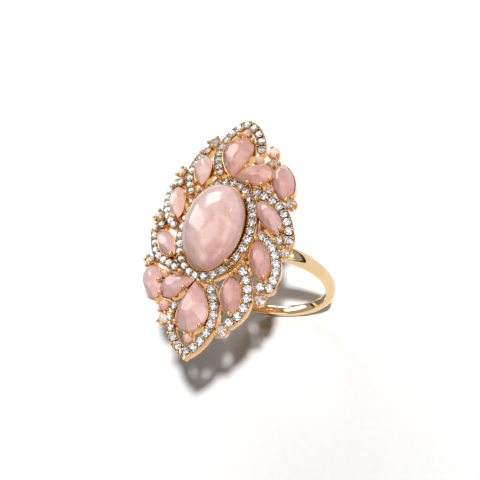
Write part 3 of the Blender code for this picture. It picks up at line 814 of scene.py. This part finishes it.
def build_petal(key, petal):
    bm = bmesh.new()
    places = petal_places(petal)
    add_channel(bm, places)
    matrix, half_length = petal_seat(petal)
    add_collet(bm, marquise(petal["half_width"] * MM, half_length, SETTING_POINTS), matrix)
    add_claws(bm, petal["claws"])
    accent = mm([ACCENTS[key]])[0]
    add_basket(bm, accent, ACCENT_RADIUS[key], ACCENT_CLAWS[key])
    for k in petal["bars"]:
        add_bar(bm, matrix.translation, places[k])
    add_bar(bm, accent, nearest_place(places, accent))
    if key == "lower":
        # A thick bar joins the end of this row to the basket of the tip's pale stone
        end = Vector(places[-1][:2])
        tip_accent = -Vector(mm([ACCENTS["tip"]])[0][:2])
        add_bar(bm, end, end.lerp(tip_accent, 0.7), half=0.34 * MM, depth=0.6 * MM)
    make_pair("petal_frame_" + key, bm, SHADED_FACE_GOLD, GOLD_SHARP)


def add_prow(bm, places):
    """The pointed end of the tip: a crescent of gold outside its foremost diamond."""
    k = max(range(1, len(places) - 1), key=lambda index: places[index].y)
    ahead = ((places[k] - places[k - 1]).normalized() - (places[k + 1] - places[k]).normalized()).normalized()
    widest = math.acos(CHANNEL_HALF_WIDTH / PROW_REACH)
    rings = []
    for step in range(-12, 13):
        turn = widest * step / 12
        toward = Matrix.Rotation(turn, 2) @ ahead
        reach = CHANNEL_HALF_WIDTH / math.cos(widest - abs(turn))
        inside = MELEE_RADIUS + 0.05 * MM
        profile = [(inside, -0.3 * MM), (inside, 0.03 * MM), (reach - 0.04 * MM, 0.05 * MM),
                   (reach, -0.01 * MM), (reach, -0.3 * MM), (reach * 0.97, -CHANNEL_DEPTH + 0.12 * MM),
                   (reach * 0.8, -CHANNEL_DEPTH), (0.3 * reach, -CHANNEL_DEPTH)]
        ring = []
        for out, up in profile:
            spot = places[k] + toward * out
            ring.append(face_point(*spot) + face_normal(*spot) * up)
        rings.append(ring)
    add_rings(bm, rings)


def tip_frame(places, end):
    bm = bmesh.new()
    add_channel(bm, places)
    add_prow(bm, places)
    matrix = pointed_seat(LARGE_PEAR)
    add_collet(bm, pear(*stone_size(LARGE_PEAR), SETTING_POINTS), matrix)
    place, radius, _ = ROUNDS["tip_" + end]
    add_claws(bm, TIP_CLAWS[end], TIP_SMALL_CLAWS[end], [(mm([place])[0], radius * MM)])
    add_basket(bm, mm([place])[0], radius * MM)
    accent = mm([ACCENTS["tip"]])[0]
    add_basket(bm, accent, ACCENT_RADIUS["tip"], ACCENT_CLAWS["tip"])
    centre = matrix.translation
    apex = max(places, key=lambda place: place.y)
    for spot in (apex, places[-3], places[2]):
        add_bar(bm, centre, spot)
    add_bar(bm, accent, nearest_place(places, accent))
    return bm


def cluster(end):
    bm = bmesh.new()
    pear_seat = pointed_seat(SMALL_PEAR)
    oval_seat = pointed_seat(OVAL)
    add_collet(bm, pear(*stone_size(SMALL_PEAR), SETTING_POINTS), pear_seat)
    add_collet(bm, ellipse(*stone_size(OVAL), SETTING_POINTS), oval_seat)
    keys = ["inner_" + end, "outer_" + end, "edge_" + end] + (["extra"] if end == "a" else [])
    stones = [(mm([ROUNDS[key][0]])[0], ROUNDS[key][1] * MM) for key in keys]
    for centre, radius in stones:
        add_basket(bm, centre, radius)
    centres = [centre for centre, _ in stones]
    inner, outer, edge = centres[:3]
    accent = mm([ACCENTS["upper"]])[0]
    stones.append((accent, ACCENT_RADIUS["upper"]))
    add_claws(bm, CLUSTER_CLAWS[end], CLUSTER_SMALL_CLAWS[end], stones)
    pairs = [(pear_seat.translation, oval_seat.translation), (pear_seat.translation, outer), (outer, edge),
             (inner, oval_seat.translation)]
    pairs += [(extra, pear_seat.translation) for extra in centres[3:]]
    for start, finish in pairs:
        add_bar(bm, start, finish)
    return bm


def build_settings():
    build_centre_setting()
    for key, petal in PETALS.items():
        build_petal(key, petal)
    make_object("tip_frame_a", tip_frame(tip_places()[1:], "a"), SHADED_FACE_GOLD, GOLD_SHARP)
    near_tip = make_object("tip_frame_b", tip_frame(tip_places(), "b"), SHADED_FACE_GOLD, GOLD_SHARP)
    near_tip.rotation_euler.z = math.pi
    make_object("cluster_setting_a", cluster("a"), SHADED_FACE_GOLD, GOLD_SHARP)
    near_cluster = make_object("cluster_setting_b", cluster("b"), SHADED_FACE_GOLD, GOLD_SHARP)
    near_cluster.rotation_euler.z = math.pi


# ---------------------------------------------------------------- gallery and shank


def rounded_square(half, count=16):
    points = []
    for k in range(count):
        t = 2 * math.pi * k / count
        points.append((half * math.copysign(abs(math.cos(t)) ** 0.5, math.cos(t)),
                       half * math.copysign(abs(math.sin(t)) ** 0.5, math.sin(t))))
    return points


def build_gallery():
    """An oval rail under the face, two cross rails and four posts that stand on the shank's shoulders."""
    bm = bmesh.new()
    profile = [(side, up - RAIL_DROP) for side, up in rounded_square(RAIL_HALF)]
    loop = [Vector(p) for p in ellipse(RAIL_A, RAIL_B, 120)]
    seats = [seat_matrix(p, d) for p, d in zip(loop, headings(loop, True))]
    add_rings(bm, [[m @ Vector((side, 0, up)) for side, up in profile] for m in seats], closed=True)
    for y in (-CROSS_RAIL_Y, CROSS_RAIL_Y):
        x = RAIL_A * math.sqrt(1 - (y / RAIL_B) ** 2)
        ends = [Vector((-x, y)), Vector((x, y))]
        seats = [seat_matrix(p, ends[1] - ends[0]) for p in evenly_spaced(ends, 25)]
        add_rings(bm, [[m @ Vector((side, 0, up)) for side, up in profile] for m in seats])
    for side_x in (-1, 1):
        for side_y in (-1, 1):
            add_post(bm, side_x * SADDLE_X, side_y * SADDLE_Y)
    make_object("gallery_rail", bm, SHADED_FACE_GOLD, GOLD_SHARP)


def add_post(bm, x, y):
    top = face_point(x, y).z - RAIL_DROP
    corners = rounded_square(POST_HALF)
    rings = []
    for share in (0, 0.25, 0.6, 1):
        ring = []
        flare = 0.85 + 0.15 * abs(2 * share - 1)
        for dx, dy in corners:
            px, py = x + dx * flare, y + dy * flare
            under = SHANK_RADIUS + math.sqrt(SHANK_RADIUS ** 2 - px ** 2)
            ring.append(Vector((px, py, under + (top - under) * share)))
        rings.append(ring)
    add_rings(bm, rings)


def build_shank():
    """A closed band, nearly flat inside and domed outside, that widens towards the face."""
    bm = bmesh.new()
    middle = Vector((0, 0, SHANK_RADIUS))
    thick = SHANK_RADIUS - HOLE_RADIUS
    rings = []
    for k in range(SHANK_STEPS):
        turn = 2 * math.pi * (k + 0.5) / SHANK_STEPS
        rise = (1 + math.sin(turn)) / 2
        half = SHANK_HALF_WIDTH_BACK + (SHANK_HALF_WIDTH_TOP - SHANK_HALF_WIDTH_BACK) * rise ** 3
        out = Vector((math.cos(turn), 0, math.sin(turn)))
        ring = []
        for step in range(32):
            t = 2 * math.pi * step / 32
            across = half * math.copysign(abs(math.cos(t)) ** 0.75, math.cos(t))
            lift = math.sin(t)
            if lift >= 0:
                depth = thick * (0.32 + 0.68 * lift ** 0.9)
            else:
                depth = thick * 0.32 * (1 - abs(lift) ** 0.6)
            ring.append(middle + out * (HOLE_RADIUS + depth) + Vector((0, across, 0)))
        rings.append(ring)
    add_rings(bm, rings, closed=True)
    make_object("shank", bm, BAND_GOLD, 60)


# ---------------------------------------------------------------- studio


def camera_back():
    """The direction from the ring towards the camera."""
    azimuth, elevation = math.radians(CAMERA_AZIMUTH), math.radians(CAMERA_ELEVATION)
    return Vector((math.sin(azimuth) * math.cos(elevation), -math.cos(azimuth) * math.cos(elevation),
                   math.sin(elevation)))


def add_softbox(name, direction, width, height, brightness):
    """A rectangular light that looks at the ring from a direction given as (azimuth, elevation)."""
    azimuth, elevation = (math.radians(v) for v in direction)
    back = Vector((math.cos(azimuth) * math.cos(elevation), math.sin(azimuth) * math.cos(elevation),
                   math.sin(elevation)))
    light = bpy.data.lights.new(name, "AREA")
    light.shape = "RECTANGLE"
    light.size = width
    light.size_y = height
    light.energy = brightness * width * height * math.pi
    obj = bpy.data.objects.new(name, light)
    bpy.context.scene.collection.objects.link(obj)
    turned = back.to_track_quat("Z", "Y").to_matrix().to_4x4()
    obj.matrix_world = Matrix.Translation(Vector((0, 0, FACE_TOP)) + back * SOFTBOX_DISTANCE) @ turned
    obj.visible_diffuse = name == FILL_BOX


def build_surroundings():
    """Studio walls for the reflections. They stay where they are, whichever way a view looks."""
    world = bpy.data.worlds.new("studio")
    bpy.context.scene.world = world
    world.use_nodes = True
    tree = world.node_tree
    direction = tree.nodes.new("ShaderNodeTexCoord").outputs["Generated"]
    facing = tree.nodes.new("ShaderNodeVectorMath")
    facing.operation = "DOT_PRODUCT"
    facing.inputs[1].default_value = camera_back()
    tree.links.new(direction, facing.inputs[0])
    walls = colour_ramp(tree, facing.outputs["Value"], [(0.82, WALL_COLOUR), (0.94, DARK_SIDE)])
    parts = tree.nodes.new("ShaderNodeSeparateXYZ")
    tree.links.new(direction, parts.inputs["Vector"])
    horizon = colour_ramp(tree, parts.outputs["Z"], [(0.06, DARK_HORIZON), (0.14, (1, 1, 1))])
    both = tree.nodes.new("ShaderNodeVectorMath")
    both.operation = "MULTIPLY"
    tree.links.new(walls, both.inputs[0])
    tree.links.new(horizon, both.inputs[1])
    tree.links.new(both.outputs["Vector"], tree.nodes["Background"].inputs["Color"])
    world.cycles_visibility.diffuse = False


def build_floor():
    bm = bmesh.new()
    for x, y in ((-1, -1), (1, -1), (1, 1), (-1, 1)):
        bm.verts.new((x * FLOOR_HALF, y * FLOOR_HALF, 0))
    bm.faces.new(bm.verts)
    mesh = bpy.data.meshes.new("floor")
    bm.to_mesh(mesh)
    bm.free()
    material, tree, shader = new_material("white_paper")
    grain = position_noise(tree, 900)
    tree.links.new(colour_ramp(tree, grain, [(0.3, (0.86, 0.86, 0.86)), (0.7, (0.88, 0.88, 0.88))]),
                   shader.inputs["Base Color"])
    shader.inputs["Roughness"].default_value = 0.9
    shader.inputs["Specular IOR Level"].default_value = 0.1
    mesh.materials.append(material)
    floor = bpy.data.objects.new("floor", mesh)
    bpy.context.scene.collection.objects.link(floor)


def build_lights():
    sun = bpy.data.lights.new("key", "SUN")
    sun.energy = KEY_STRENGTH
    sun.angle = math.radians(KEY_SIZE)
    key = bpy.data.objects.new("key", sun)
    bpy.context.scene.collection.objects.link(key)
    key.matrix_world = Vector(KEY_FROM).to_track_quat("Z", "Y").to_matrix().to_4x4()
    key.visible_glossy = False
    for softbox in SOFTBOXES:
        add_softbox(*softbox)


def build_camera():
    back = camera_back()
    camera = bpy.data.cameras.new("camera")
    camera.lens = LENS
    camera.clip_start = CAMERA_NEAR
    obj = bpy.data.objects.new("camera", camera)
    bpy.context.scene.collection.objects.link(obj)
    roll = Matrix.Rotation(math.radians(-CAMERA_ROLL), 4, "Z")
    obj.matrix_world = (Matrix.Translation(LOOK_AT + back * CAMERA_DISTANCE)
                        @ back.to_track_quat("Z", "Y").to_matrix().to_4x4() @ roll)
    bpy.context.scene.camera = obj


build_camera()
build_floor()
build_lights()
build_surroundings()
build_shank()
build_gallery()
build_settings()
build_diamonds()
build_opals()
build_rounds()
build_accents()
bpy.context.scene.view_settings.view_transform = "Standard"

bpy.context.view_layer.update()
